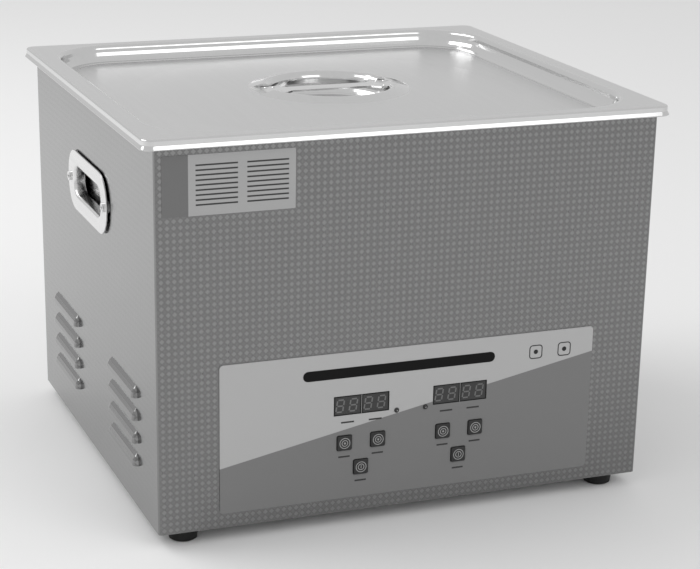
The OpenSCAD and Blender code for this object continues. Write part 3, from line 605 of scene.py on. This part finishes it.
def lamp_domes():
    """A small dome over each lamp, with a pale spot on its crown as a painted highlight."""
    low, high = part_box("indicator_lamps")
    middle = (low.z + high.z) / 2 / MM
    for side, u in (("left", low.x / MM + 2.4), ("right", high.x / MM - 2.4)):
        dome = Shape(foil)
        rings = [(circle((u, middle), 1.75 * math.cos(a)), 1.3 * math.sin(a) - 0.01)
                 for a in (0, 0.35, 0.7, 1.05, 1.35)]
        dome.loft(rings)
        dome.piece(side + "_lamp_dome", "lamp_plastic", "cleaner", 60)
        # Painted highlight: a pale grey spot standing just proud of the dome's crown.
        highlight_spot = Shape(foil)
        highlight_spot.loft([(circle((u, middle), 0.5, 12), 1.2), (circle((u, middle), 0.3, 12), 1.36)])
        highlight_spot.piece(side + "_lamp_painted_highlight", "ink_light", "cleaner", 60)


def key_caps():
    """A soft-edged cap on each key, with two printed rings round a small mark."""
    for name in KEYS:
        low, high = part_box(name)
        centre = ((low.x + high.x) / 2 / MM, (low.z + high.z) / 2 / MM)
        face = front_placer(low.y)
        cap = Shape(face)
        cap.loft([
            (round_rect(centre, 10.2, 10.2, 1.2), -0.3), (round_rect(centre, 10.2, 10.2, 1.2), 0.05),
            (round_rect(centre, 9.7, 9.7, 1.1), 0.3), (round_rect(centre, 8.9, 8.9, 0.9), 0.38),
        ])
        cap.piece(name + "_cap", "key_plastic", name, 50)
        print_ = Shape(face)
        top = 0.38
        for radius in (3.5, 2.0):
            print_.stroke(circle(centre, radius, 32), 0.52, top - 0.01, top + INK, closed=True)
        if name.endswith("run"):
            print_.prism(bar(centre, 0.5, 2.4), top - 0.01, top + INK)
        else:
            tip = 1.15 if name.endswith("up") else -1.15
            print_.prism(
                [(centre[0] - 0.85, centre[1] - tip * 0.2), (centre[0], centre[1] + tip),
                 (centre[0] + 0.85, centre[1] - tip * 0.2), (centre[0], centre[1] - tip * 0.75)],
                top - 0.01, top + INK,
            )
        print_.piece(name + "_print", "ink_light", name)


BAND_HEIGHT = 107
BAND_SIZE = (135, 7)
BAND_MIDDLE = -7.5
MARK_PLACES = (90, 111)
MARK_SIZE = 9


def panel_marks():
    """A plain band over the displays, and two outlined squares with a dot at its right."""
    band = Shape(foil)
    band.prism(round_rect((BAND_MIDDLE, BAND_HEIGHT), *BAND_SIZE, 3.4), -0.01, INK)
    band.piece("panel_band", "ink_black", "cleaner")
    marks = Shape(foil)
    for u in MARK_PLACES:
        centre = (u, BAND_HEIGHT)
        marks.stroke(round_rect(centre, MARK_SIZE, MARK_SIZE, 2), 0.7, -0.01, INK, closed=True)
        marks.prism(circle(centre, 1.6, 24), -0.01, INK)
    marks.piece("panel_marks", "ink_grey", "cleaner")


LABEL_ROWS = 9
LABEL_ROW_PITCH = 3.1
LABEL_FIRST_ROW = 6.7
LABEL_COLUMNS = (35, 68)
LABEL_ROW_WIDTH = 27


def label_rows():
    """Two columns of plain rows on the front label."""
    s = Shape(paper)
    left, top = LABEL_LOW.x / MM, LABEL_HIGH.z / MM
    for column in LABEL_COLUMNS:
        for row in range(LABEL_ROWS):
            centre = (left + column, top - LABEL_FIRST_ROW - LABEL_ROW_PITCH * row)
            s.prism(bar(centre, LABEL_ROW_WIDTH, 1), -0.01, INK)
    s.piece("label_rows", "ink_label", "cleaner")


def softened(node, width, body):
    """A copy of a stamped part with its sharp edges eased, in place of the CAD's own mesh."""
    thing = bpy.data.objects.new(node + "_eased", NODES[node].data.copy())
    bpy.context.scene.collection.objects.link(thing)
    thing.matrix_world = NODES[node].matrix_world.copy()
    shape = bmesh.new()
    shape.from_mesh(thing.data)
    bmesh.ops.remove_doubles(shape, verts=shape.verts, dist=1e-6)
    bmesh.ops.dissolve_limit(
        shape, angle_limit=math.radians(1), verts=shape.verts, edges=shape.edges
    )
    sharp = [e for e in shape.edges if e.is_manifold and e.calc_face_angle(0) > math.radians(50)]
    bmesh.ops.bevel(
        shape, geom=sharp, offset=width, segments=2, profile=0.5, affect="EDGES",
        clamp_overlap=True,
    )
    shape.to_mesh(thing.data)
    shape.free()
    thing.data.shade_smooth()
    thing.data.set_sharp_from_angle(angle=math.radians(20))
    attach(thing, body)
    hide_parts(node)


paint_cad_nodes()
for handle_node in ("left_handle", "right_handle"):
    softened(handle_node, 0.25 * MM, "cleaner")
displays()
captions()
lamp_domes()
key_caps()
panel_marks()
label_rows()

# ---------------------------------------------------------------- stage


def look_from(azimuth, elevation, roll):
    """A camera's rotation from the way it looks: azimuth 0 is along +Y, turning towards +X."""
    az, el = math.radians(azimuth), math.radians(elevation)
    forward = Vector((math.sin(az) * math.cos(el), math.cos(az) * math.cos(el), -math.sin(el)))
    right = Vector((math.cos(az), -math.sin(az), 0))
    up = right.cross(forward)
    turn = Matrix((right, up, -forward)).transposed()
    return (turn @ Matrix.Rotation(math.radians(roll), 3, "Z")).to_4x4()


def camera():
    data = bpy.data.cameras.new("camera")
    thing = bpy.data.objects.new("camera", data)
    bpy.context.scene.collection.objects.link(thing)
    thing.matrix_world = Matrix.Translation((-0.4892, -1.2995, 0.5377)) @ look_from(21.186, 19.21, 0.991)
    data.sensor_width = 36
    data.lens = 103.54
    data.shift_x = 0.0089
    data.shift_y = 0.117
    data.clip_end = 50
    bpy.context.scene.camera = thing


FLOOR_HALF = 6
DAYLIGHT = 0.7
SOFT_BOXES = {
    "soft_key": ((-1.3, 0.8, 1.6), (1.6, 1.2), 16),
    "soft_fill": ((0.6, -1.6, 1.5), (1.2, 1.2), 6),
}


def soft_box(name, place, size, power):
    """A large rectangular light that faces the object, with its size in metres and power in watts."""
    light = bpy.data.lights.new(name, "AREA")
    light.shape = "RECTANGLE"
    light.size, light.size_y = size
    light.energy = power
    thing = bpy.data.objects.new(name, light)
    thing.location = place
    thing.rotation_euler = (-Vector(place)).to_track_quat("-Z", "Y").to_euler()
    bpy.context.scene.collection.objects.link(thing)


def studio():
    scene = bpy.context.scene
    scene.view_settings.view_transform = "Standard"
    world = bpy.data.worlds.new("studio")
    scene.world = world
    world.use_nodes = True
    world.node_tree.nodes["Background"].inputs["Color"].default_value = (1, 1, 1, 1)
    world.node_tree.nodes["Background"].inputs["Strength"].default_value = DAYLIGHT
    for name, (place, size, power) in SOFT_BOXES.items():
        soft_box(name, place, size, power)

    floor_shape = bmesh.new()
    bmesh.ops.create_grid(floor_shape, x_segments=1, y_segments=1, size=FLOOR_HALF)
    data = bpy.data.meshes.new("floor")
    floor_shape.to_mesh(data)
    floor_shape.free()
    s = Shader("floor")
    s.set(Base_Color=(0.9, 0.9, 0.9), Roughness=0.9, Specular_IOR_Level=0.1)
    data.materials.append(s.material)
    floor = bpy.data.objects.new("floor", data)
    scene.collection.objects.link(floor)


camera()
studio()
